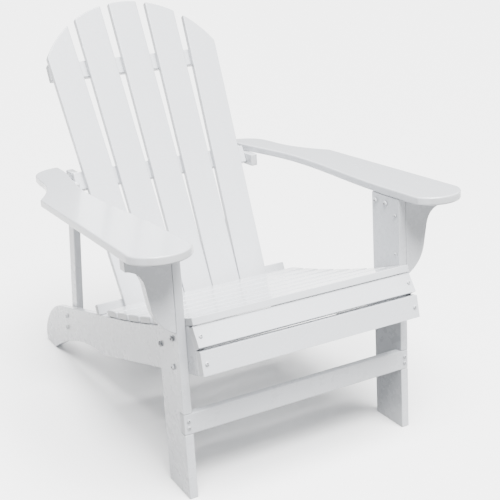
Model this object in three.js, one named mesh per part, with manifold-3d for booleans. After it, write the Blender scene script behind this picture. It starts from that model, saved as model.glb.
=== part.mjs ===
import * as THREE from 'three';
import { mergeVertices } from 'three/addons/utils/BufferGeometryUtils.js';
import Module from 'manifold-3d';

const wasm = await Module();
wasm.setup();

// An adirondack chair of painted boards, in millimetres. It faces -Y, +X is its left-right
// symmetry axis and +Z is up. Every Y below is measured from the front faces of the front legs,
// and the whole chair is moved at the end so that its origin is under the middle of its box.

// stock and general sizes
const boardThick = 18;
const slatThick = 16;
const seatSlatThick = 14.6;
const armThick = 17.5;
const gap = 0.3;

// front legs and the stretcher let into them
const legOuterX = 266;
const legInnerX = legOuterX - boardThick;
const legDepth = 95;
const legHeight = 517;
const stretcherBottomZ = 137.5;
const stretcherHeight = 43;
const stretcherThick = 17;

// stringers, which carry the seat and end in the rear feet
const stringerOuterX = legInnerX - gap;
const stringerInnerX = stringerOuterX - boardThick;
const undersideSlope = 0.28;
const undersideKinkY = 494;
const undersideKinkZ = 123;
const footRearY = 976;
const footFrontY = 905;
const footRearHeight = 28;
const topStraightEndY = 830;
const topStraightEndZ = 143.6;
const stringerNoseZ = 363.8;
const stringerFrontFootZ = 277;

// seat: equal slats on a shallow dish that falls towards the back
const seatSlope = 0.256;
const seatHeightAtLegs = 363.5;
const dishLowestY = 310;
const dishCurve = 0.0001225;
const seatRearY = 460;
const seatPitch = 68.6;
const firstSlatMiddleY = 5;
const seatSlatWidth = 58.4;
const noseSlatWidth = 65;
const noseSlatMiddleY = 1.8;
const seatSlatCount = 7;

// the two front boards, each leaning out at its foot
const upperBoard = { topY: -30.5, topZ: 369, height: 42.5, lean: THREE.MathUtils.degToRad(34) };
const apron = { topY: -57.5, topZ: 326.6, height: 46.2, lean: THREE.MathUtils.degToRad(11.5) };

// back: five boards fanned out over three rails, all leaning back
const backAngle = THREE.MathUtils.degToRad(26.9);
const backFootY = 353.8;
const backSlatWidth = 74.4;
const backSlatBottom = 252;
const backFanStart = 270;
const backSlatSpacing = 76;
const backFanStep = THREE.MathUtils.degToRad(1.68);
const archRadius = 262;
const archTop = 1027;
const backRails = [
  { name: 'upper_back_brace', low: 843, high: 886, halfLength: 226 },
  { name: 'middle_back_rail', low: 564, high: 609, halfLength: 229.4 },
];
const lowerRailTop = 289;

// arms and what carries them
const armBottomZ = legHeight + gap;
const armTopZ = armBottomZ + armThick;
const armFrontY = -92;
const armNoseRadius = 66.5;
const armNoseX = 304;
const armRearY = 736;
const bracketThick = 24;
const bracketReachX = 357;
const cleatHeight = 30;
const frontCleatThick = 22;
const rearCleatFrontY = 600;
const rearCleatRearY = 700;
const strutOuterX = stringerInnerX - gap;
const strutInnerX = strutOuterX - boardThick;
const strutDepth = 38.7;
const strutLean = 0.19;
const strutTopFrontY = 659.4;
const strutBottomZ = 88;
const strutTopZ = 533;

// fasteners
const boltRadius = 3;
const boltSides = 12;
const boreRadius = 3.35;
const bolt = { head: 6, headHeight: 3, length: 32, socket: 2.2, socketDepth: 1.6 };
const screw = { head: 4, headHeight: 2, length: 30, socket: 1.6, socketDepth: 1.2 };

const paint = { color: 0xf1f3f4, roughness: 0.32, metalness: 0 };
const paintedSteel = { color: 0xe6e9ea, roughness: 0.28, metalness: 0.1 };

const upAxis = new THREE.Vector3(0, 1, 0);

// an outline drawn in (y, z), run along X
function alongX(shape, fromX, toX, curveSegments = 10) {
  const geometry = new THREE.ExtrudeGeometry(shape, { depth: toX - fromX, bevelEnabled: false, curveSegments });
  const turn = new THREE.Matrix4().makeBasis(
    new THREE.Vector3(0, 1, 0),
    new THREE.Vector3(0, 0, 1),
    new THREE.Vector3(1, 0, 0),
  );
  return geometry.applyMatrix4(turn).translate(fromX, 0, 0);
}

// an outline drawn in (x, z), run along Y
function alongY(shape, fromY, toY, curveSegments = 10) {
  const geometry = new THREE.ExtrudeGeometry(shape, { depth: toY - fromY, bevelEnabled: false, curveSegments });
  return geometry.rotateX(Math.PI / 2).translate(0, toY, 0);
}

// an outline drawn in (x, y), run along Z
function alongZ(shape, fromZ, toZ, curveSegments = 12) {
  const geometry = new THREE.ExtrudeGeometry(shape, { depth: toZ - fromZ, bevelEnabled: false, curveSegments });
  return geometry.translate(0, 0, fromZ);
}

function polygon(points) {
  return new THREE.Shape(points.map(([a, b]) => new THREE.Vector2(a, b)));
}

// a board between two corners
function board(low, high) {
  const size = high.map((value, axis) => value - low[axis]);
  const middle = high.map((value, axis) => (value + low[axis]) / 2);
  return new THREE.BoxGeometry(...size).translate(...middle);
}

function toSolid(geometry) {
  const bare = geometry.clone();
  bare.deleteAttribute('normal');
  bare.deleteAttribute('uv');
  const merged = mergeVertices(bare, 1e-4);
  return new wasm.Manifold(new wasm.Mesh({
    numProp: 3,
    vertProperties: new Float32Array(merged.attributes.position.array),
    triVerts: new Uint32Array(merged.index.array),
  }));
}

function toGeometry(solid) {
  const mesh = solid.getMesh();
  const geometry = new THREE.BufferGeometry();
  geometry.setAttribute('position', new THREE.BufferAttribute(new Float32Array(mesh.vertProperties), 3));
  geometry.setIndex(new THREE.BufferAttribute(new Uint32Array(mesh.triVerts), 1));
  geometry.computeVertexNormals();
  return geometry;
}

// takes bores out of a piece; the piece and the bores share one frame
function bored(geometry, bores) {
  return toGeometry(bores.reduce((solid, bore) => solid.subtract(toSolid(bore)), toSolid(geometry)));
}

function intersected(geometry, other) {
  return toGeometry(toSolid(geometry).intersect(toSolid(other)));
}

// a round bore from a point, running the given way
function bore(point, direction, length, radius = boreRadius) {
  const geometry = new THREE.CylinderGeometry(radius, radius, length, boltSides);
  const turn = new THREE.Quaternion().setFromUnitVectors(upAxis, direction);
  const middle = point.clone().addScaledVector(direction, length / 2);
  return geometry.applyQuaternion(turn).translate(middle.x, middle.y, middle.z);
}

const group = new THREE.Group();
group.position.y = -(armFrontY + footRearY) / 2;

const backGroup = new THREE.Group();
backGroup.position.y = backFootY;
backGroup.rotation.x = -backAngle;
group.add(backGroup);

function addPiece(name, geometry, look = paint, parent = group) {
  const mesh = new THREE.Mesh(geometry, new THREE.MeshStandardMaterial(look));
  mesh.name = name;
  parent.add(mesh);
  return mesh;
}

// A button-head bolt or a screw. Its point lies on the surface under the head, and it runs in
// the given direction from there.
function addFastener(name, kind, point, direction, sink = 0, parent = group) {
  const profile = [
    [0, -kind.length],
    [boltRadius - 1, -kind.length],
    [boltRadius, 2 - kind.length],
    [boltRadius, gap],
    [kind.head, gap],
    [kind.head, gap + kind.headHeight * 0.4],
    [kind.head * 0.72, gap + kind.headHeight * 0.86],
    [kind.socket, gap + kind.headHeight],
    [kind.socket, gap + kind.headHeight - kind.socketDepth],
    [0, gap + kind.headHeight - kind.socketDepth],
  ].map(([radius, height]) => new THREE.Vector2(radius, height));
  const mesh = addPiece(name, new THREE.LatheGeometry(profile, boltSides), paintedSteel, parent);
  mesh.position.copy(point).addScaledVector(direction, sink);
  mesh.quaternion.setFromUnitVectors(upAxis, direction.clone().negate());
}

const sides = [
  { name: 'left', sign: -1 },
  { name: 'right', sign: 1 },
];

// places of the fasteners on one side, as (y, z)
const legBolts = [[24, 331], [84, 300], [30, 271]];
const strutBolts = [[759, 138], [763, 106]];
const cleatBolts = [[45, 500], [80, 500]];
const bracketScrews = [[12, 480], [12, 396]];
const stretcherScrewHeights = [152.5, 167];
const endScrewX = stringerOuterX - boardThick / 2 - 1;
const legScrewX = legOuterX - boardThick / 2 - 0.5;

// front legs, notched in front for the stretcher
function legShape() {
  const notchLow = stretcherBottomZ - gap;
  const notchHigh = stretcherBottomZ + stretcherHeight + gap;
  const notchDepth = stretcherThick + gap;
  return polygon([
    [0, 0],
    [legDepth, 0],
    [legDepth, legHeight],
    [0, legHeight],
    [0, notchHigh],
    [notchDepth, notchHigh],
    [notchDepth, notchLow],
    [0, notchLow],
  ]);
}

// the seat's dished top surface, its slope, and the stringers' top edges beneath it
function seatTop(y) {
  return seatHeightAtLegs - seatSlope * y + dishCurve * (y - dishLowestY) ** 2;
}

function seatFall(y) {
  return seatSlope - 2 * dishCurve * (y - dishLowestY);
}

function stringerUnderSeat(y) {
  return seatTop(y) - seatSlatThick - 3 * gap;
}

// behind the seat the top edges run straight down to the rear feet
const rearSlope = (stringerUnderSeat(seatRearY) - topStraightEndZ) / (topStraightEndY - seatRearY);
function stringerBehindSeat(y) {
  return topStraightEndZ + rearSlope * (topStraightEndY - y);
}

function stringerUnderside(y) {
  return undersideKinkZ + undersideSlope * (undersideKinkY - y);
}

// the line of a front board's inner face, a little clear of the board, at a height
function innerFaceY(front, z) {
  const offset = boardThick + gap;
  const startY = front.topY + offset * Math.cos(front.lean);
  const startZ = front.topZ - offset * Math.sin(front.lean);
  return startY - (startZ - z) * Math.tan(front.lean);
}

// the height where both front boards' inner faces meet
function facetMeetingZ() {
  const across = innerFaceY(upperBoard, 0) - innerFaceY(apron, 0);
  return across / (Math.tan(apron.lean) - Math.tan(upperBoard.lean));
}

function stringerShape() {
  const shape = new THREE.Shape();
  const topFrontY = innerFaceY(upperBoard, stringerNoseZ);
  const topFrontZ = stringerUnderSeat(topFrontY);
  const lowFrontZ = stringerUnderside(innerFaceY(apron, stringerFrontFootZ));
  const meetingZ = facetMeetingZ();
  shape.moveTo(innerFaceY(apron, lowFrontZ), lowFrontZ);
  shape.lineTo(undersideKinkY, undersideKinkZ);
  shape.bezierCurveTo(640, 118, 790, 66, footFrontY, 0);
  shape.lineTo(footRearY, 0);
  shape.lineTo(footRearY, footRearHeight);
  shape.bezierCurveTo(966, 62, 905, stringerBehindSeat(905), topStraightEndY, topStraightEndZ);
  shape.lineTo(seatRearY, stringerUnderSeat(seatRearY));
  const middleY = (seatRearY + topFrontY) / 2;
  const middleZ = stringerUnderSeat(seatRearY) + seatFall(seatRearY) * (seatRearY - middleY);
  shape.quadraticCurveTo(middleY, middleZ, topFrontY, topFrontZ);
  shape.lineTo(innerFaceY(upperBoard, meetingZ), meetingZ);
  return shape;
}

// the top of a front board's outer face and the way it faces
function boardFrame(front) {
  return {
    down: new THREE.Vector3(0, -Math.sin(front.lean), -Math.cos(front.lean)),
    inward: new THREE.Vector3(0, Math.cos(front.lean), -Math.sin(front.lean)),
    top: new THREE.Vector3(0, front.topY, front.topZ),
  };
}

function frontBoardScrew(front, sign) {
  const { down, inward, top } = boardFrame(front);
  const point = top.clone().addScaledVector(down, front.height / 2);
  point.x = sign * endScrewX;
  return { point, direction: inward };
}

function frontBoardGeometry(front) {
  const { down, inward, top } = boardFrame(front);
  const corners = [[0, 0], [front.height, 0], [front.height, boardThick], [0, boardThick]];
  const outline = corners.map(([fall, depth]) => {
    const corner = top.clone().addScaledVector(down, fall).addScaledVector(inward, depth);
    return [corner.y, corner.z];
  });
  return alongX(polygon(outline), -stringerOuterX, stringerOuterX);
}

function throughBore({ point, direction }, length) {
  return bore(point.clone().addScaledVector(direction, -5), direction, length + 5);
}

// the bracket under each arm: a short square drop, a cove, a long fall and a round foot
function rightBracketShape() {
  const shape = new THREE.Shape();
  const innerX = legOuterX + gap;
  shape.moveTo(innerX, legHeight);
  shape.lineTo(bracketReachX, legHeight);
  shape.lineTo(bracketReachX, 488);
  shape.quadraticCurveTo(325, 484, 320, 448);
  shape.lineTo(313, 408);
  shape.quadraticCurveTo(306, 368, innerX, 348);
  return shape;
}

// the right arm seen from above: a round nose, a straight outer edge, a scoop and a round end
function rightArmShape() {
  const shape = new THREE.Shape();
  const noseY = armFrontY + armNoseRadius;
  const noseAngle = (x) => -Math.acos((x - armNoseX) / armNoseRadius);
  shape.absarc(armNoseX, noseY, armNoseRadius, noseAngle(247), noseAngle(368.5), false);
  shape.lineTo(370.5, 445);
  shape.bezierCurveTo(338, 498, 316, 556, 315.5, 630);
  shape.lineTo(312, 672);
  shape.bezierCurveTo(308, 703, 283, armRearY - 3, 243, armRearY);
  shape.lineTo(237, armRearY - 4);
  shape.lineTo(238, 690);
  shape.bezierCurveTo(241, 610, 264, 560, 267, 440);
  shape.bezierCurveTo(268, 290, 251, 230, 247, 60);
  return shape;
}

// the same outline on either side
function onSide(shape, sign, divisions) {
  return polygon(shape.getPoints(divisions).map((point) => [sign * point.x, point.y]));
}

function strutShape() {
  const frontAt = (z) => strutTopFrontY + strutLean * (strutTopZ - z);
  return polygon([
    [frontAt(strutBottomZ), strutBottomZ],
    [frontAt(strutBottomZ) + strutDepth, strutBottomZ],
    [frontAt(strutTopZ) + strutDepth, strutTopZ],
    [frontAt(strutTopZ), strutTopZ],
  ]);
}

// one back board in the back's own frame: x across, z up the slope, its top cut to the arch
function backSlatGeometry(index) {
  const turn = -index * backFanStep;
  const half = backSlatWidth / 2;
  const blank = board([-half, 0, backSlatBottom - backFanStart], [half, slatThick, archTop - backFanStart + 30]);
  blank.rotateY(-turn).translate(index * backSlatSpacing, 0, backFanStart);
  const arch = new THREE.Shape();
  const middleZ = archTop - archRadius;
  arch.absarc(0, middleZ, archRadius, 0, Math.PI);
  arch.lineTo(-archRadius, backSlatBottom);
  arch.lineTo(archRadius, backSlatBottom);
  return intersected(blank, alongY(arch, -1, slatThick + 1, 72));
}

[-2, -1, 0, 1, 2].forEach((index) => {
  addPiece(`back_slat_${index + 3}`, backSlatGeometry(index), paint, backGroup);
});

const railFront = slatThick + gap;
const railRear = railFront + boardThick;
backRails.forEach((rail) => {
  const low = [-rail.halfLength, railFront, rail.low];
  const high = [rail.halfLength, railRear, rail.high];
  addPiece(rail.name, board(low, high), paint, backGroup);
});

// the lower rail's bottom is planed to the stringers' top edges
const railFootAt = (depth) => {
  const depthY = backFootY + depth * Math.cos(backAngle);
  const fall = rearSlope * Math.sin(backAngle) + Math.cos(backAngle);
  return (stringerBehindSeat(depthY) + depth * Math.sin(backAngle) + 2 * gap) / fall;
};
addPiece('lower_back_rail', alongX(polygon([
  [railFront, railFootAt(railFront)],
  [railRear, railFootAt(railRear)],
  [railRear, lowerRailTop],
  [railFront, lowerRailTop],
]), -stringerOuterX - 4, stringerOuterX + 4), paint, backGroup);

// seat slats, numbered from the front, each lying flat on the dish; the first one is the nose
const slatEndX = stringerOuterX - gap;
for (let count = 0; count < seatSlatCount; count += 1) {
  const width = count === 0 ? noseSlatWidth : seatSlatWidth;
  const middleY = count === 0 ? noseSlatMiddleY : firstSlatMiddleY + count * seatPitch;
  const slat = board([-slatEndX, -width / 2, -seatSlatThick], [slatEndX, width / 2, 0]);
  slat.rotateX(-Math.atan(seatFall(middleY)));
  addPiece(`seat_slat_${count + 1}`, slat.translate(0, middleY, seatTop(middleY)));
}

// front boards, each held by one screw into the end of each stringer
const frontBoards = [
  { name: 'front_upper_board', front: upperBoard },
  { name: 'front_apron', front: apron },
];
frontBoards.forEach(({ name, front }) => {
  const bores = sides.map(({ sign }) => throughBore(frontBoardScrew(front, sign), boardThick + 5));
  addPiece(name, bored(frontBoardGeometry(front), bores));
  sides.forEach((side) => {
    const { point, direction } = frontBoardScrew(front, side.sign);
    addFastener(`${side.name}_${name}_screw`, screw, point, direction);
  });
});

// stretcher between the front legs
const stretcherBores = [];
sides.forEach(({ name, sign }) => {
  stretcherScrewHeights.forEach((z, index) => {
    const point = new THREE.Vector3(sign * legScrewX, 0, z);
    const inward = new THREE.Vector3(0, 1, 0);
    stretcherBores.push(throughBore({ point, direction: inward }, stretcherThick + 5));
    addFastener(`${name}_stretcher_screw_${index + 1}`, screw, point, inward);
  });
});
addPiece('front_stretcher', bored(board(
  [-legOuterX, 0, stretcherBottomZ],
  [legOuterX, stretcherThick, stretcherBottomZ + stretcherHeight],
), stretcherBores));

sides.forEach(({ name, sign }) => {
  const inward = new THREE.Vector3(-sign, 0, 0);
  const outward = new THREE.Vector3(sign, 0, 0);
  const at = (x, [y, z]) => new THREE.Vector3(sign * x, y, z);
  const between = (a, b) => [Math.min(sign * a, sign * b), Math.max(sign * a, sign * b)];

  const stretcherHoles = stretcherScrewHeights.map((z) => bore(at(legScrewX, [0, z]), upAxis, 40));
  const legBoltHoles = legBolts.map((place) => bore(at(legOuterX + 5, place), inward, 50));
  const cleatHoles = cleatBolts.map((place) => bore(at(legInnerX - 5, place), outward, 40));
  const bracketHoles = bracketScrews.map((place) => bore(at(legInnerX - 5, place), outward, 40));
  const strutHoles = strutBolts.map((place) => bore(at(stringerOuterX + 5, place), inward, 40));
  const boardHoles = frontBoards.map(({ front }) => throughBore(frontBoardScrew(front, sign), 40));

  addPiece(`${name}_front_leg`, bored(
    alongX(legShape(), ...between(legInnerX, legOuterX)),
    [...stretcherHoles, ...legBoltHoles, ...cleatHoles, ...bracketHoles],
  ));
  addPiece(`${name}_stringer`, bored(
    alongX(stringerShape(), ...between(stringerInnerX, stringerOuterX)),
    [...legBoltHoles, ...strutHoles, ...boardHoles],
  ));
  addPiece(`${name}_rear_strut`, bored(
    alongX(strutShape(), ...between(strutInnerX, strutOuterX)),
    strutHoles,
  ));

  const bracketOutline = onSide(rightBracketShape(), sign, 10);
  addPiece(`${name}_arm_bracket`, bored(alongY(bracketOutline, 0, bracketThick), bracketHoles));

  const [frontCleatLow, frontCleatHigh] = between(legOuterX + gap, legOuterX + gap + frontCleatThick);
  addPiece(`${name}_front_arm_cleat`, bored(board(
    [frontCleatLow, bracketThick + gap, legHeight - cleatHeight],
    [frontCleatHigh, legDepth, legHeight],
  ), cleatHoles));

  const [rearCleatLow, rearCleatHigh] = between(strutOuterX + gap, stringerOuterX);
  addPiece(`${name}_rear_arm_cleat`, board(
    [rearCleatLow, rearCleatFrontY, legHeight - cleatHeight],
    [rearCleatHigh, rearCleatRearY, legHeight],
  ));

  addPiece(`${name}_arm`, alongZ(onSide(rightArmShape(), sign, 14), armBottomZ, armTopZ));

  legBolts.forEach((place, index) => {
    addFastener(`${name}_leg_bolt_${index + 1}`, bolt, at(legOuterX, place), inward);
  });
  strutBolts.forEach((place, index) => {
    addFastener(`${name}_strut_bolt_${index + 1}`, bolt, at(stringerOuterX, place), inward);
  });
  cleatBolts.forEach((place, index) => {
    addFastener(`${name}_cleat_bolt_${index + 1}`, bolt, at(legInnerX, place), outward);
  });
  bracketScrews.forEach((place, index) => {
    addFastener(`${name}_bracket_screw_${index + 1}`, screw, at(legInnerX, place), outward);
  });
});

export default group;
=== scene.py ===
import math
import random

import bpy
from mathutils import Matrix, Vector


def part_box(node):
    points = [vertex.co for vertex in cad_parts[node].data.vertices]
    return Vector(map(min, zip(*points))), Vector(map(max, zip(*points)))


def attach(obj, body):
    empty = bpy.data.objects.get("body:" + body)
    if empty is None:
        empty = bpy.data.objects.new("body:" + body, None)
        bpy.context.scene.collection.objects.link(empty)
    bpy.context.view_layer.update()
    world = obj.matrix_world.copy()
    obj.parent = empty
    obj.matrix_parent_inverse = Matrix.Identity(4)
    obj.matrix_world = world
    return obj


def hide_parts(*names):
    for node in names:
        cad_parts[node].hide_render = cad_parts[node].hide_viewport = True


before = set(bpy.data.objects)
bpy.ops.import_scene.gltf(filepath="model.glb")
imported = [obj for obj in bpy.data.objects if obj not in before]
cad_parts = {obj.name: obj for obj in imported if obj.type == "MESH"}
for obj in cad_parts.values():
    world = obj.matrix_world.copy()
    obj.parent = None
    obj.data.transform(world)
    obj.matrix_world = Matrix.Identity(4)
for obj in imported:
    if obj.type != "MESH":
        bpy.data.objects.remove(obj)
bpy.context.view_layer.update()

# everything below is in millimetres from the front faces of the front legs, the ground and the middle
mm = 0.001
legLow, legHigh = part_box("right_front_leg")
legFrontY = legLow.y
chance = random.Random(11)
boardClear = 0.3
sideSigns = {"left": -1, "right": 1}


def at(x, y, z):
    return Vector((x * mm, legFrontY + y * mm, z * mm))


def cadBox(node):
    # the node's corners, in the same millimetres
    low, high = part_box(node)
    shift = Vector((0, legFrontY, 0))
    return (low - shift) / mm, (high - shift) / mm


# ---- shader helpers


class Flow:
    # one shader socket that can be added, scaled and so on like a number
    def __init__(self, tree, socket):
        self.tree = tree
        self.socket = socket

    def maths(self, operation, first, second=0.0):
        return addNode(self.tree, "ShaderNodeMath", {"operation": operation}, {0: first, 1: second})

    def __add__(self, other):
        return self.maths("ADD", self, other)

    def __radd__(self, other):
        return self.maths("ADD", other, self)

    def __sub__(self, other):
        return self.maths("SUBTRACT", self, other)

    def __rsub__(self, other):
        return self.maths("SUBTRACT", other, self)

    def __mul__(self, other):
        return self.maths("MULTIPLY", self, other)

    def __rmul__(self, other):
        return self.maths("MULTIPLY", other, self)

    def between(self, low, high):
        # 0 below low, 1 above high, smooth between
        return addNode(self.tree, "ShaderNodeMapRange", {"interpolation_type": "SMOOTHSTEP"},
                       {"Value": self, "From Min": low, "From Max": high})


def plug(tree, value, target):
    if isinstance(value, Flow):
        tree.links.new(value.socket, target)
    else:
        target.default_value = value


def addNode(tree, kind, settings=None, inputs=None, output=0):
    node = tree.nodes.new(kind)
    for key, value in (settings or {}).items():
        if key == "stops":
            for place, (position, colour) in enumerate(value):
                stops = node.color_ramp.elements
                stop = stops[place] if place < 2 else stops.new(position)
                stop.position = position
                stop.color = (*colour, 1)
        else:
            setattr(node, key, value)
    for key, value in (inputs or {}).items():
        plug(tree, value, node.inputs[key])
    return Flow(tree, node.outputs[output])


def stretch(tree, vector, scales):
    return addNode(tree, "ShaderNodeVectorMath", {"operation": "MULTIPLY"}, {0: vector, 1: scales})


def noise(tree, vector, scale, detail=2.0, roughness=0.5):
    return addNode(tree, "ShaderNodeTexNoise", None,
                   {"Vector": vector, "Scale": scale, "Detail": detail, "Roughness": roughness})


def mixColour(tree, amount, first, second):
    return addNode(tree, "ShaderNodeMix", {"data_type": "RGBA"}, {0: amount, 6: first, 7: second}, output=2)


def newMaterial(name):
    material = bpy.data.materials.new(name)
    material.use_nodes = True
    tree = material.node_tree
    tree.nodes.clear()
    shader = tree.nodes.new("ShaderNodeBsdfPrincipled")
    output = tree.nodes.new("ShaderNodeOutputMaterial")
    tree.links.new(shader.outputs["BSDF"], output.inputs["Surface"])
    return material, tree, shader


# ---- paint

# these whites reflect less than real white paint, which sends back about 0.8 of the light
boardPaint = {
    "white": (0.575, 0.59, 0.615, 1),
    "shadeWhite": (0.50, 0.515, 0.54, 1),
    "thinPaint": (0.43, 0.43, 0.42, 1),
    "roughness": 0.24,
    "grainDepth": 0.08,
    "brushDepth": 0.05,
    "peelDepth": 0.05,
    "nibDepth": 0.05,
    "coat": 0.35,
}


def makeBoardPaint(name, paint):
    material, tree, shader = newMaterial(name)
    grain = addNode(tree, "ShaderNodeAttribute", {"attribute_name": "grain"}, output=1)
    arris = addNode(tree, "ShaderNodeAttribute", {"attribute_name": "arris"}, output=2)
    endGrain = addNode(tree, "ShaderNodeAttribute", {"attribute_name": "endGrain"}, output=2)

    figure = noise(tree, stretch(tree, grain, (2.5, 42, 42)), 1.0, 5, 0.62)
    streaks = noise(tree, stretch(tree, grain, (9, 330, 330)), 1.0, 4, 0.6)
    brushMarks = noise(tree, stretch(tree, grain, (14, 900, 900)), 1.0, 2)
    cloud = noise(tree, grain, 5.5, 3, 0.55)
    peel = noise(tree, grain, 480, 2)
    handling = noise(tree, grain, 38, 5, 0.7)
    nibs = addNode(tree, "ShaderNodeTexVoronoi", {"feature": "F1"}, {"Vector": grain, "Scale": 95.0})
    nib = 1 - nibs.between(0.02, 0.085)

    # the coat is a little greyer in clouds and along the figure, and thin on worn arrises and end grain
    shading = cloud.between(0.3, 0.75) * 0.2 + figure.between(0.4, 0.75) * 0.16 + nib * 0.1
    tone = mixColour(tree, shading, paint["white"], paint["shadeWhite"])
    wear = arris * handling.between(0.52, 0.74) * 0.3
    soak = endGrain * (0.22 + streaks * 0.28)
    thin = wear + soak
    tone = mixColour(tree, thin, tone, paint["thinPaint"])
    plug(tree, tone, shader.inputs["Base Color"])

    gloss = paint["roughness"] + cloud * 0.06 + handling.between(0.4, 0.8) * 0.04 + endGrain * 0.16 + nib * 0.1
    plug(tree, gloss, shader.inputs["Roughness"])
    plug(tree, (1 - endGrain * 0.7) * paint["coat"], shader.inputs["Coat Weight"])
    shader.inputs["Coat Roughness"].default_value = 0.12
    shader.inputs["IOR"].default_value = 1.5

    height = ((figure * 0.4 + streaks * 0.5) * paint["grainDepth"] + brushMarks * paint["brushDepth"]
              + peel * paint["peelDepth"] + nib * paint["nibDepth"] + streaks * endGrain * 0.5)
    bump = addNode(tree, "ShaderNodeBump", None, {"Strength": 0.3, "Distance": 0.0007, "Height": height})
    plug(tree, bump, shader.inputs["Normal"])
    return material


fastenerPaint = {
    "white": (0.56, 0.575, 0.595, 1),
    "bare": (0.34, 0.35, 0.36, 1),
    # the socket colour is painted shade: a dark grey laid in the hexagon sockets where shade falls
    "socketShade": (0.17, 0.17, 0.175, 1),
    "roughness": 0.24,
}


def makeFastenerPaint(name, paint):
    material, tree, shader = newMaterial(name)
    place = addNode(tree, "ShaderNodeTexCoord", output=3)
    socketShade = addNode(tree, "ShaderNodeAttribute", {"attribute_name": "socketShade"}, output=2)
    chips = noise(tree, place, 620, 4, 0.65)
    film = noise(tree, place, 150, 3)
    chip = chips.between(0.63, 0.69)
    tone = mixColour(tree, film.between(0.3, 0.7) * 0.35, paint["white"], (0.48, 0.49, 0.51, 1))
    tone = mixColour(tree, chip, tone, paint["bare"])
    # painted shade: the socket's walls and floor are coloured dark grey
    tone = mixColour(tree, socketShade, tone, paint["socketShade"])
    plug(tree, tone, shader.inputs["Base Color"])
    plug(tree, chip * 0.8, shader.inputs["Metallic"])
    plug(tree, paint["roughness"] + film * 0.12 + socketShade * 0.35, shader.inputs["Roughness"])
    bump = addNode(tree, "ShaderNodeBump", None,
                   {"Strength": 0.3, "Distance": 0.0004, "Height": film * 0.5 - chip * 0.4})
    plug(tree, bump, shader.inputs["Normal"])
    return material


paintOf = {
    "painted_frame_boards": makeBoardPaint("frameBoardPaint", boardPaint),
    "painted_seat_boards": makeBoardPaint("seatBoardPaint", {**boardPaint, "roughness": 0.20, "coat": 0.45}),
    "painted_back_boards": makeBoardPaint("backBoardPaint", {**boardPaint, "grainDepth": 0.1}),
    "painted_arm_boards": makeBoardPaint("armBoardPaint", {**boardPaint, "roughness": 0.21, "coat": 0.45}),
    "painted_fasteners": makeFastenerPaint("fastenerPaint", fastenerPaint),
}
print("paint mixed")


# ---- board making


def clearSelection():
    if bpy.context.object and bpy.context.object.mode != "OBJECT":
        bpy.ops.object.mode_set(mode="OBJECT")
    bpy.ops.object.select_all(action="DESELECT")


def boardFrame(origin, along, across):
    # X runs along the grain, Y across the board, Z through its thickness
    along = Vector(along).normalized()
    across = Vector(across).normalized()
    matrix = Matrix((along, across, along.cross(across))).transposed().to_4x4()
    matrix.translation = origin
    return matrix


def sawnBlank(name, low, high):
    clearSelection()
    size = [(top - bottom) * mm for bottom, top in zip(low, high)]
    middle = [(top + bottom) * mm / 2 for bottom, top in zip(low, high)]
    bpy.ops.mesh.primitive_cube_add(size=1, location=middle, scale=size)
    bpy.ops.object.transform_apply(location=True, rotation=True, scale=True)
    board = bpy.context.object
    board.name = name
    return board


def sawnOutline(name, points, thick):
    # a board cut to an outline in its X and Y
    clearSelection()
    bpy.ops.mesh.primitive_circle_add(vertices=len(points), radius=0.1, fill_type="NGON")
    board = bpy.context.object
    board.name = name
    for vertex, (x, y) in zip(board.data.vertices, points):
        vertex.co = (x * mm, y * mm, 0)
    bpy.ops.object.mode_set(mode="EDIT")
    bpy.ops.mesh.select_all(action="SELECT")
    bpy.ops.mesh.extrude_region_move(TRANSFORM_OT_translate={"value": (0, 0, thick * mm)})
    bpy.ops.mesh.select_all(action="SELECT")
    bpy.ops.mesh.normals_make_consistent(inside=False)
    bpy.ops.object.mode_set(mode="OBJECT")
    return board


faceMark = bpy.data.materials.new("faceMark")
arrisMark = bpy.data.materials.new("arrisMark")


def easeArrises(board, radius, limit=40):
    # round every sharp edge, and remember which faces are the rounding
    board.data.materials.append(faceMark)
    board.data.materials.append(arrisMark)
    bevel = board.modifiers.new("easing", "BEVEL")
    bevel.width = radius * mm
    bevel.segments = 4
    bevel.limit_method = "ANGLE"
    bevel.angle_limit = math.radians(limit)
    bevel.material = 1
    clearSelection()
    board.select_set(True)
    bpy.context.view_layer.objects.active = board
    bpy.ops.object.modifier_apply(modifier=bevel.name)


def layGrain(board, grainTurn):
    # the grain's own coordinates, the eased arrises and the sawn ends go on the mesh for the paint
    mesh = board.data
    turn = Matrix.Rotation(-grainTurn, 3, "Z")
    offset = Vector([chance.uniform(0, 20) for axis in range(3)])
    values = [value for vertex in mesh.vertices for value in (turn @ vertex.co + offset)]
    mesh.attributes.new("grain", "FLOAT_VECTOR", "POINT").data.foreach_set("vector", values)
    arris = []
    ends = []
    for face in mesh.polygons:
        isEnd = abs((turn @ face.normal).x) > 0.8
        for corner in face.loop_indices:
            arris.append(float(face.material_index == 1))
            ends.append(float(isEnd))
    mesh.attributes.new("arris", "FLOAT", "CORNER").data.foreach_set("value", arris)
    mesh.attributes.new("endGrain", "FLOAT", "CORNER").data.foreach_set("value", ends)


def shadeBoard(piece, angle=50):
    clearSelection()
    piece.select_set(True)
    bpy.context.view_layer.objects.active = piece
    bpy.ops.object.shade_smooth_by_angle(angle=math.radians(angle))
    weighted = piece.modifiers.new("weighted", "WEIGHTED_NORMAL")
    weighted.keep_sharp = True
    weighted.weight = 90
    bpy.ops.object.modifier_apply(modifier=weighted.name)


def paintPiece(piece, slotName, nodes=()):
    piece.data.materials.clear()
    piece.data.materials.append(paintOf[slotName])
    piece.data.polygons.foreach_set("material_index", [0] * len(piece.data.polygons))
    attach(piece, "root")
    if nodes:
        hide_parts(*nodes)


def finishBoard(board, node, matrix, slotName, radius, grainTurn=0.0):
    easeArrises(board, radius)
    layGrain(board, grainTurn)
    board.data.transform(matrix)
    shadeBoard(board)
    paintPiece(board, slotName, [node])
    return board


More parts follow.
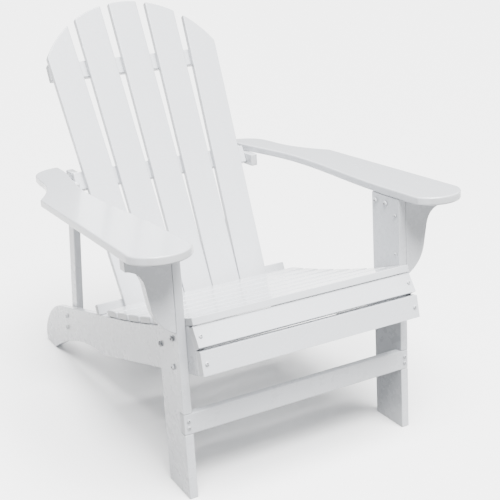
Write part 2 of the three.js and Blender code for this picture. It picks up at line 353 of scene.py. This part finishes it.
def curve(*controls, steps=10):
    # points along a Bezier curve, without its first point
    points = []
    for step in range(1, steps + 1):
        t = step / steps
        level = [Vector(control) for control in controls]
        while len(level) > 1:
            level = [a.lerp(b, t) for a, b in zip(level, level[1:])]
        points.append(tuple(level[0]))
    return points


# ---- front legs

frontLeg = {"ease": 1.8}


def makeFrontLeg(side):
    node = f"{side}_front_leg"
    low, high = cadBox(node)
    railLow, railHigh = cadBox("front_stretcher")
    depth = high.y - low.y
    notch = railHigh.y - railLow.y + boardClear
    points = [
        (0, 0),
        (railLow.z - boardClear, 0),
        (railLow.z - boardClear, notch),
        (railHigh.z + boardClear, notch),
        (railHigh.z + boardClear, 0),
        (high.z, 0),
        (high.z, depth),
        (0, depth),
    ]
    board = sawnOutline(f"{node}_board", points, high.x - low.x)
    matrix = boardFrame(at(high.x, low.y, low.z), (0, 0, 1), (0, 1, 0))
    finishBoard(board, node, matrix, "painted_frame_boards", frontLeg["ease"])


for side in sideSigns:
    makeFrontLeg(side)

# ---- stringers: dished along the seat, arched beneath, and down to the rear feet

frontBoards = {
    "front_upper_board": {"top": (-30.5, 369), "height": 42.5, "lean": 34, "thick": 18, "ease": 0.5},
    "front_apron": {"top": (-57.5, 326.6), "height": 46.2, "lean": 11.5, "thick": 18, "ease": 0.5},
}


def innerFaceY(node, z):
    # the line just behind a front board, at a height
    values = frontBoards[node]
    lean = math.radians(values["lean"])
    clear = values["thick"] + boardClear
    startY = values["top"][0] + clear * math.cos(lean)
    startZ = values["top"][1] - clear * math.sin(lean)
    return startY - (startZ - z) * math.tan(lean)


stringer = {
    "ease": 2.4,
    "kink": (494, 123),
    "undersideSlope": 0.28,
    "footFront": 905,
    "footRear": 976,
    "footRearHeight": 28,
    "seatRear": 460,
    "straightTopEnd": 830,
    "straightTopEndHeight": 143.6,
    "noseHeight": 363.8,
    "noseFootHeight": 277,
    "dishSteps": 24,
}

# the seat lies on a shallow dish cut into the stringers' top edges
seat = {"slope": 0.256, "heightAtLegs": 363.5, "lowest": 310, "curve": 0.0001225, "thick": 14.6, "clear": 0.9}


def seatTop(y):
    return seat["heightAtLegs"] - seat["slope"] * y + seat["curve"] * (y - seat["lowest"]) ** 2


def seatFall(y):
    return seat["slope"] - 2 * seat["curve"] * (y - seat["lowest"])


def stringerUnderSeat(y):
    return seatTop(y) - seat["thick"] - seat["clear"]


rearSlope = ((stringerUnderSeat(stringer["seatRear"]) - stringer["straightTopEndHeight"])
             / (stringer["straightTopEnd"] - stringer["seatRear"]))


def stringerBehindSeat(y):
    return stringer["straightTopEndHeight"] + rearSlope * (stringer["straightTopEnd"] - y)


def makeStringer(side):
    node = f"{side}_stringer"
    low, high = cadBox(node)
    footFront = (stringer["footFront"], 0)
    kink = stringer["kink"]
    heel = (stringer["footRear"], stringer["footRearHeight"])
    shoulder = (stringer["straightTopEnd"], stringer["straightTopEndHeight"])
    footY = innerFaceY("front_apron", stringer["noseFootHeight"])
    footZ = kink[1] + stringer["undersideSlope"] * (kink[0] - footY)
    noseY = innerFaceY("front_upper_board", stringer["noseHeight"])
    points = [(innerFaceY("front_apron", footZ), footZ), kink]
    points += curve(kink, (640, 118), (790, 66), footFront, steps=22)
    points += [(stringer["footRear"], 0), heel]
    points += curve(heel, (966, 62), (905, stringerBehindSeat(905)), shoulder, steps=18)
    for step in range(stringer["dishSteps"] + 1):
        y = stringer["seatRear"] + (noseY - stringer["seatRear"]) * step / stringer["dishSteps"]
        points.append((y, stringerUnderSeat(y)))
    # both front boards' inner faces meet where their lines cross
    fall = math.tan(math.radians(frontBoards["front_upper_board"]["lean"]))
    lowFall = math.tan(math.radians(frontBoards["front_apron"]["lean"]))
    jointZ = (innerFaceY("front_upper_board", 0) - innerFaceY("front_apron", 0)) / (lowFall - fall)
    points.append((innerFaceY("front_upper_board", jointZ), jointZ))
    # the outline's X is the chair's Y and its Y is the chair's Z
    board = sawnOutline(f"{node}_board", points, high.x - low.x)
    matrix = boardFrame(at(low.x, 0, 0), (0, 1, 0), (0, 0, 1))
    finishBoard(board, node, matrix, "painted_frame_boards", stringer["ease"], -math.atan(seat["slope"]))


for side in sideSigns:
    makeStringer(side)
print("legs and stringers cut")

# ---- stretcher and the two boards across the front

def makeFrontBoard(node, values):
    low, high = cadBox(node)
    lean = math.radians(values["lean"])
    down = (0, -math.sin(lean), -math.cos(lean))
    matrix = boardFrame(at(low.x, *values["top"]), (1, 0, 0), down)
    # this frame's third axis points into the chair
    board = sawnBlank(f"{node}_board", (0, 0, 0), (high.x - low.x, values["height"], values["thick"]))
    finishBoard(board, node, matrix, "painted_frame_boards", values["ease"])


for node, values in frontBoards.items():
    makeFrontBoard(node, values)


def makeUprightBlank(node, slotName, ease, along=(1, 0, 0), across=(0, 1, 0)):
    # a plain square-cut board that fills its CAD box
    low, high = cadBox(node)
    along = Vector(along)
    across = Vector(across)
    out = along.cross(across)
    size = high - low
    lengths = [abs(size.dot(axis)) for axis in (along, across, out)]
    middle = (low + high) / 2
    halves = [length / 2 for length in lengths]
    board = sawnBlank(f"{node}_board", [-half for half in halves], halves)
    finishBoard(board, node, boardFrame(at(*middle), along, across), slotName, ease)


makeUprightBlank("front_stretcher", "painted_frame_boards", 2.4, (1, 0, 0), (0, 0, 1))
for side in sideSigns:
    makeUprightBlank(f"{side}_front_arm_cleat", "painted_frame_boards", 2.4, (0, 1, 0), (0, 0, 1))
    makeUprightBlank(f"{side}_rear_arm_cleat", "painted_frame_boards", 2.4, (0, 1, 0), (0, 0, 1))
print("front boards and cleats fitted")

# ---- seat slats, the nose slat first, each flat on the dish

seatSlats = {"seat_slat_1": {"middle": 1.8, "width": 65, "ease": 1.4}}
for count in range(1, 7):
    seatSlats[f"seat_slat_{count + 1}"] = {"middle": 5 + count * 68.6, "width": 58.4, "ease": 3.6}

for node, values in seatSlats.items():
    low, high = cadBox(node)
    half = values["width"] / 2
    board = sawnBlank(f"{node}_board", (low.x, -half, -seat["thick"]), (high.x, half, 0))
    # across the slat is up the dish, so that its own Z comes out on top
    rise = (0, 1, -seatFall(values["middle"]))
    matrix = boardFrame(at(0, values["middle"], seatTop(values["middle"])), (1, 0, 0), rise)
    finishBoard(board, node, matrix, "painted_seat_boards", values["ease"])

# ---- back boards fanned out and cut to one arch

back = {
    "lean": math.radians(26.9),
    "footY": 353.8,
    "width": 74.4,
    "thick": 16,
    "bottom": 252,
    "fanStart": 270,
    "spacing": 76,
    "fanStep": math.radians(1.68),
    "archRadius": 262,
    "archTop": 1027,
    "archSteps": 18,
    "ease": 3.0,
}


def backPoint(x, rise, depth):
    # a place across the back, up its slope and behind its front face
    return at(x, back["footY"] + depth * math.cos(back["lean"]) + rise * math.sin(back["lean"]),
              rise * math.cos(back["lean"]) - depth * math.sin(back["lean"]))


def backAxes(turn=0.0):
    # up the slope, and across it, in a board turned in the plane of the back
    up = Vector((0, math.sin(back["lean"]), math.cos(back["lean"])))
    across = Vector((1, 0, 0))
    return up * math.cos(turn) + across * math.sin(turn), across * math.cos(turn) - up * math.sin(turn)


def makeBackSlat(index):
    node = f"back_slat_{index + 3}"
    turn = index * back["fanStep"]
    half = back["width"] / 2
    base = Vector((index * back["spacing"], back["fanStart"]))
    up = Vector((math.sin(turn), math.cos(turn)))
    across = Vector((math.cos(turn), -math.sin(turn)))
    centre = Vector((0, back["archTop"] - back["archRadius"]))

    def archAt(offset):
        start = base + across * offset - centre
        return -start.dot(up) + math.sqrt(start.dot(up) ** 2 - start.length_squared + back["archRadius"] ** 2)

    bottom = back["bottom"] - back["fanStart"]
    points = [(bottom, half), (bottom, -half)]
    for step in range(back["archSteps"] + 1):
        offset = -half + step * back["width"] / back["archSteps"]
        points.append((archAt(offset), offset))
    board = sawnOutline(f"{node}_board", points, back["thick"])
    along, side = backAxes(turn)
    matrix = boardFrame(backPoint(base.x, base.y, 0), along, side)
    finishBoard(board, node, matrix, "painted_back_boards", back["ease"])


for index in range(-2, 3):
    makeBackSlat(index)
print("seat and back boards laid")

# ---- rails behind the back, and the rear struts

backRails = {
    "upper_back_brace": {"low": 843, "high": 886, "ease": 2.8},
    "middle_back_rail": {"low": 564, "high": 609, "ease": 2.8},
}
railThick = 18
railFront = back["thick"] + boardClear
railRear = railFront + railThick

for node, values in backRails.items():
    low, high = cadBox(node)
    lowCorner = (low.x, values["low"], -railRear)
    board = sawnBlank(f"{node}_board", lowCorner, (high.x, values["high"], -railFront))
    up, across = backAxes()
    matrix = boardFrame(backPoint(0, 0, 0), across, up)
    finishBoard(board, node, matrix, "painted_back_boards", values["ease"])

lowerRail = {"top": 289, "ease": 2.2}


def railFoot(depth):
    # where a line down the rail meets the stringers' top edges
    depthY = back["footY"] + depth * math.cos(back["lean"])
    fall = rearSlope * math.sin(back["lean"]) + math.cos(back["lean"])
    return (stringerBehindSeat(depthY) + depth * math.sin(back["lean"]) + 0.6) / fall


def makeLowerRail():
    low, high = cadBox("lower_back_rail")
    up, across = backAxes()
    # the section is drawn up the slope and through the back, then runs the chair's width
    points = [
        (railFoot(railFront), -railFront),
        (railFoot(railRear), -railRear),
        (lowerRail["top"], -railRear),
        (lowerRail["top"], -railFront),
    ]
    board = sawnOutline("lower_back_rail_board", points, high.x - low.x)
    # turn the blank so that its own X is its length
    board.data.transform(Matrix(((0, 0, 1, 0), (1, 0, 0, 0), (0, 1, 0, 0), (0, 0, 0, 1))))
    board.data.transform(Matrix.Translation((low.x * mm, 0, 0)))
    finishBoard(board, "lower_back_rail", boardFrame(backPoint(0, 0, 0), across, up), "painted_frame_boards",
                lowerRail["ease"])


makeLowerRail()

strut = {"depth": 38.7, "lean": 0.19, "topFront": 659.4, "topAt": 533, "ease": 2.6}


def makeRearStrut(side):
    node = f"{side}_rear_strut"
    low, high = cadBox(node)

    def frontAt(z):
        return strut["topFront"] + strut["lean"] * (strut["topAt"] - z)

    points = [
        (low.z, frontAt(low.z)),
        (high.z, frontAt(high.z)),
        (high.z, frontAt(high.z) + strut["depth"]),
        (low.z, frontAt(low.z) + strut["depth"]),
    ]
    board = sawnOutline(f"{node}_board", points, high.x - low.x)
    matrix = boardFrame(at(high.x, 0, 0), (0, 0, 1), (0, 1, 0))
    finishBoard(board, node, matrix, "painted_frame_boards", strut["ease"], -math.atan(strut["lean"]))


for side in sideSigns:
    makeRearStrut(side)
print("rails and struts fixed")

# ---- arms and their brackets

arm = {"noseX": 304, "noseRadius": 66.5, "frontY": -92, "rearY": 736, "ease": 3.8}


def armOutline():
    # the right arm from above
    centreY = arm["frontY"] + arm["noseRadius"]

    def noseAngle(x):
        return -math.acos((x - arm["noseX"]) / arm["noseRadius"])

    start = noseAngle(247)
    end = noseAngle(368.5)
    points = []
    for step in range(29):
        angle = start + (end - start) * step / 28
        points.append((arm["noseX"] + arm["noseRadius"] * math.cos(angle),
                       centreY + arm["noseRadius"] * math.sin(angle)))
    corner = (370.5, 445)
    waist = (315.5, 630)
    turn = (312, 672)
    tip = (243, arm["rearY"])
    points.append(corner)
    points += curve(corner, (338, 498), (316, 556), waist, steps=18)
    points.append(turn)
    points += curve(turn, (308, 703), (283, arm["rearY"] - 3), tip, steps=16)
    heel = (238, 690)
    points += [(237, arm["rearY"] - 4), heel]
    belly = (267, 440)
    points += curve(heel, (241, 610), (264, 560), belly, steps=16)
    points += curve(belly, (268, 290), (251, 230), (247, 60), steps=16)
    return points


def makeArm(side):
    node = f"{side}_arm"
    sign = sideSigns[side]
    low, high = cadBox(node)
    points = [(y, sign * x) for x, y in armOutline()]
    board = sawnOutline(f"{node}_board", points, high.z - low.z)
    # X along the chair's Y and Y along its X turns the thickness down
    matrix = boardFrame(at(0, 0, high.z), (0, 1, 0), (1, 0, 0))
    finishBoard(board, node, matrix, "painted_arm_boards", arm["ease"])


bracket = {"reach": 357, "dropTo": 488, "tip": 348, "ease": 1.6}


def makeBracket(side):
    node = f"{side}_arm_bracket"
    sign = sideSigns[side]
    low, high = cadBox(node)
    inner = min(abs(low.x), abs(high.x))
    outer = (bracket["reach"], bracket["dropTo"])
    waist = (320, 448)
    belly = (313, 408)
    points = [(inner, high.z), (bracket["reach"], high.z), outer]
    points += curve(outer, (325, 484), waist, steps=14)
    points.append(belly)
    points += curve(belly, (306, 368), (inner, bracket["tip"]), steps=14)
    board = sawnOutline(f"{node}_board", [(z, sign * x) for x, z in points], high.y - low.y)
    matrix = boardFrame(at(0, low.y, 0), (0, 0, 1), (1, 0, 0))
    finishBoard(board, node, matrix, "painted_frame_boards", bracket["ease"])


for side in sideSigns:
    makeArm(side)
    makeBracket(side)
print("arms and brackets shaped")

# ---- bolts and screws

fastenerKinds = {
    "bolt": {"radius": 6.0, "height": 3.2, "socket": 2.5, "depth": 2.0, "rim": 0.7},
    "screw": {"radius": 4.0, "height": 2.2, "socket": 1.7, "depth": 1.4, "rim": 0.5},
}


def makeHead(kind):
    # a button head: a low dome on a short rim, with a hexagon socket sunk in it
    values = fastenerKinds[kind]
    clearSelection()
    bpy.ops.mesh.primitive_uv_sphere_add(segments=32, ring_count=18, radius=values["radius"] * mm)
    head = bpy.context.object
    head.name = f"{kind}_head"
    bpy.ops.object.mode_set(mode="EDIT")
    bpy.ops.mesh.select_all(action="SELECT")
    bpy.ops.mesh.bisect(plane_co=(0, 0, 0), plane_no=(0, 0, 1), clear_inner=True, use_fill=True)
    bpy.ops.mesh.select_all(action="SELECT")
    bpy.ops.transform.resize(value=(1, 1, (values["height"] - values["rim"]) / values["radius"]))
    bpy.ops.transform.translate(value=(0, 0, values["rim"] * mm))
    bpy.ops.mesh.select_all(action="DESELECT")
    bpy.ops.object.mode_set(mode="OBJECT")
    for face in head.data.polygons:
        face.select = face.normal.z < -0.99
    bpy.ops.object.mode_set(mode="EDIT")
    bpy.ops.mesh.extrude_region_move(TRANSFORM_OT_translate={"value": (0, 0, -values["rim"] * mm)})
    bpy.ops.mesh.select_all(action="SELECT")
    bpy.ops.mesh.normals_make_consistent(inside=False)
    bpy.ops.object.mode_set(mode="OBJECT")

    clearSelection()
    bpy.ops.mesh.primitive_cylinder_add(vertices=6, radius=values["socket"] * mm, depth=2 * values["depth"] * mm,
                                        location=(0, 0, values["height"] * mm))
    key = bpy.context.object
    cut = head.modifiers.new("socket", "BOOLEAN")
    cut.operation = "DIFFERENCE"
    cut.solver = "EXACT"
    cut.object = key
    clearSelection()
    head.select_set(True)
    bpy.context.view_layer.objects.active = head
    bpy.ops.object.modifier_apply(modifier=cut.name)
    bpy.data.objects.remove(key)
    bpy.ops.object.shade_smooth_by_angle(angle=math.radians(35))
    floorZ = (values["height"] - values["depth"]) * mm
    reach = values["socket"] * 1.02 * mm
    # the socket's walls and floor are marked so the paint can colour them dark grey, as painted shade
    socketShade = []
    for face in head.data.polygons:
        middle = face.center
        inSocket = middle.z > floorZ - 1e-5 and middle.xy.length < reach and face.normal.z < 0.5
        isFloor = abs(middle.z - floorZ) < 2e-5 and face.normal.z > 0.9
        socketShade += [float(inSocket or isFloor)] * len(face.loop_indices)
    head.data.attributes.new("socketShade", "FLOAT", "CORNER").data.foreach_set("value", socketShade)
    return head


headOf = {kind: makeHead(kind) for kind in fastenerKinds}


def driveIn(name, kind, point, outward, nodes=()):
    piece = headOf[kind].copy()
    piece.data = headOf[kind].data.copy()
    piece.name = name
    bpy.context.scene.collection.objects.link(piece)
    # each head stops at its own turn
    spin = Matrix.Rotation(chance.uniform(0, math.pi / 3), 4, "Z")
    turn = Vector((0, 0, 1)).rotation_difference(Vector(outward)).to_matrix().to_4x4()
    piece.data.transform(Matrix.Translation(point) @ turn @ spin)
    paintPiece(piece, "painted_fasteners", nodes)


legBolts = [(24, 331), (84, 300), (30, 271)]
strutBolts = [(759, 138), (763, 106)]
cleatBolts = [(45, 500), (80, 500)]
bracketScrews = [(12, 480), (12, 396)]
stretcherScrews = [152.5, 167]
legScrewInset = 9.5
endScrewInset = 10

legOuterX = legHigh.x / mm
legInnerX = legLow.x / mm
stringerOuterX = cadBox("right_stringer")[1].x

for side, sign in sideSigns.items():
    outward = (sign, 0, 0)
    inward = (-sign, 0, 0)
    for count, (y, z) in enumerate(legBolts, 1):
        node = f"{side}_leg_bolt_{count}"
        driveIn(f"{node}_head", "bolt", at(sign * legOuterX, y, z), outward, [node])
    for count, (y, z) in enumerate(strutBolts, 1):
        node = f"{side}_strut_bolt_{count}"
        driveIn(f"{node}_head", "bolt", at(sign * stringerOuterX, y, z), outward, [node])
    for count, (y, z) in enumerate(cleatBolts, 1):
        node = f"{side}_cleat_bolt_{count}"
        driveIn(f"{node}_head", "bolt", at(sign * legInnerX, y, z), inward, [node])
    for count, (y, z) in enumerate(bracketScrews, 1):
        node = f"{side}_bracket_screw_{count}"
        driveIn(f"{node}_head", "screw", at(sign * legInnerX, y, z), inward, [node])
    for count, z in enumerate(stretcherScrews, 1):
        node = f"{side}_stretcher_screw_{count}"
        driveIn(f"{node}_head", "screw", at(sign * (legOuterX - legScrewInset), 0, z), (0, -1, 0), [node])
    for name, values in frontBoards.items():
        lean = math.radians(values["lean"])
        half = values["height"] / 2
        node = f"{side}_{name}_screw"
        point = at(sign * (stringerOuterX - endScrewInset), values["top"][0] - half * math.sin(lean),
                   values["top"][1] - half * math.cos(lean))
        driveIn(f"{node}_head", "screw", point, (0, -math.cos(lean), math.sin(lean)), [node])

# screws through the three rails into the back boards, seen from behind
backRearward = Vector((0, math.cos(back["lean"]), -math.sin(back["lean"])))
railScrewRises = {"upper_back_brace": 864.5, "middle_back_rail": 586.5, "lower_back_rail": 278}
for name, rise in railScrewRises.items():
    for index in range(-2, 3):
        x = index * back["spacing"] + (rise - back["fanStart"]) * math.tan(index * back["fanStep"])
        driveIn(f"{name}_screw_{index + 3}", "screw", backPoint(x, rise, railRear), backRearward)

for head in headOf.values():
    bpy.data.objects.remove(head)
for mark in (faceMark, arrisMark):
    bpy.data.materials.remove(mark)
print("bolts and screws driven")

# ---- floor, light and camera

chairMiddle = Vector((0, 0, 0.4))
studio = {
    "floorSize": 70,
    "floor": (0.93, 0.93, 0.93, 1),
    "floorShade": (0.91, 0.91, 0.91, 1),
    "sky": (0.97, 0.985, 1.0, 1),
    "skyStrength": 0.55,
    "overheadStrength": 17.5,
    "overheadFrom": (-0.02, -0.38, 0.92),
    "overheadSpread": math.radians(45),
    "overheadDistance": 4,
    "keyPower": 50,
    "keyPlace": (-0.3, -2.5, 2.9),
    "keySize": 0.8,
}


def makeFloor():
    clearSelection()
    bpy.ops.mesh.primitive_plane_add(size=studio["floorSize"], location=(0, 0, 0))
    floor = bpy.context.object
    floor.name = "floor"
    material, tree, shader = newMaterial("floorPaper")
    place = addNode(tree, "ShaderNodeTexCoord", output=3)
    soft = noise(tree, place, 3.0, 2)
    plug(tree, mixColour(tree, soft * 0.4, studio["floor"], studio["floorShade"]), shader.inputs["Base Color"])
    plug(tree, 0.75 + soft * 0.1, shader.inputs["Roughness"])
    floor.data.materials.append(material)
    # no diffuse light comes back off the floor on to the chair, so its shaded sides stay darker
    floor.visible_diffuse = False


def makeSky():
    world = bpy.data.worlds.new("studioSky")
    bpy.context.scene.world = world
    world.use_nodes = True
    sky = world.node_tree.nodes["Background"]
    sky.inputs["Color"].default_value = studio["sky"]
    sky.inputs["Strength"].default_value = studio["skyStrength"]


def hangLight(light, place):
    # every light points at the middle of the chair
    holder = bpy.data.objects.new(light.name, light)
    bpy.context.scene.collection.objects.link(holder)
    aim = chairMiddle - Vector(place)
    holder.matrix_world = Matrix.Translation(place) @ aim.to_track_quat("-Z", "Y").to_matrix().to_4x4()


def makeOverhead():
    # a broad, even light that falls the same on the chair and on the far floor
    light = bpy.data.lights.new("overheadLight", "SUN")
    light.energy = studio["overheadStrength"]
    light.angle = studio["overheadSpread"]
    hangLight(light, chairMiddle + studio["overheadDistance"] * Vector(studio["overheadFrom"]))


def makeSoftbox(name, place, power, size):
    light = bpy.data.lights.new(name, "AREA")
    light.shape = "SQUARE"
    light.size = size
    light.energy = power
    hangLight(light, place)


view = {
    "place": (-931, -1582, 1048),
    "yaw": 28.18,
    "pitch": -15.18,
    "roll": -3.19,
    "lens": 70.86,
    "shiftX": -0.0132,
    "shiftY": -0.086,
}


def makeCamera():
    yaw, pitch, roll = (math.radians(view[turn]) for turn in ("yaw", "pitch", "roll"))
    forward = Vector((math.sin(yaw) * math.cos(pitch), math.cos(yaw) * math.cos(pitch), math.sin(pitch)))
    level = forward.cross(Vector((0, 0, 1))).normalized()
    rise = level.cross(forward)
    right = level * math.cos(roll) + rise * math.sin(roll)
    up = rise * math.cos(roll) - level * math.sin(roll)
    camera = bpy.data.cameras.new("camera")
    camera.sensor_width = 36
    camera.lens = view["lens"]
    camera.shift_x = view["shiftX"]
    camera.shift_y = view["shiftY"]
    holder = bpy.data.objects.new("camera", camera)
    bpy.context.scene.collection.objects.link(holder)
    matrix = Matrix((right, up, -forward)).transposed().to_4x4()
    matrix.translation = at(*view["place"])
    holder.matrix_world = matrix
    bpy.context.scene.camera = holder


makeFloor()
makeSky()
makeOverhead()
makeSoftbox("keySoftbox", studio["keyPlace"], studio["keyPower"], studio["keySize"])
makeCamera()
print("studio set")
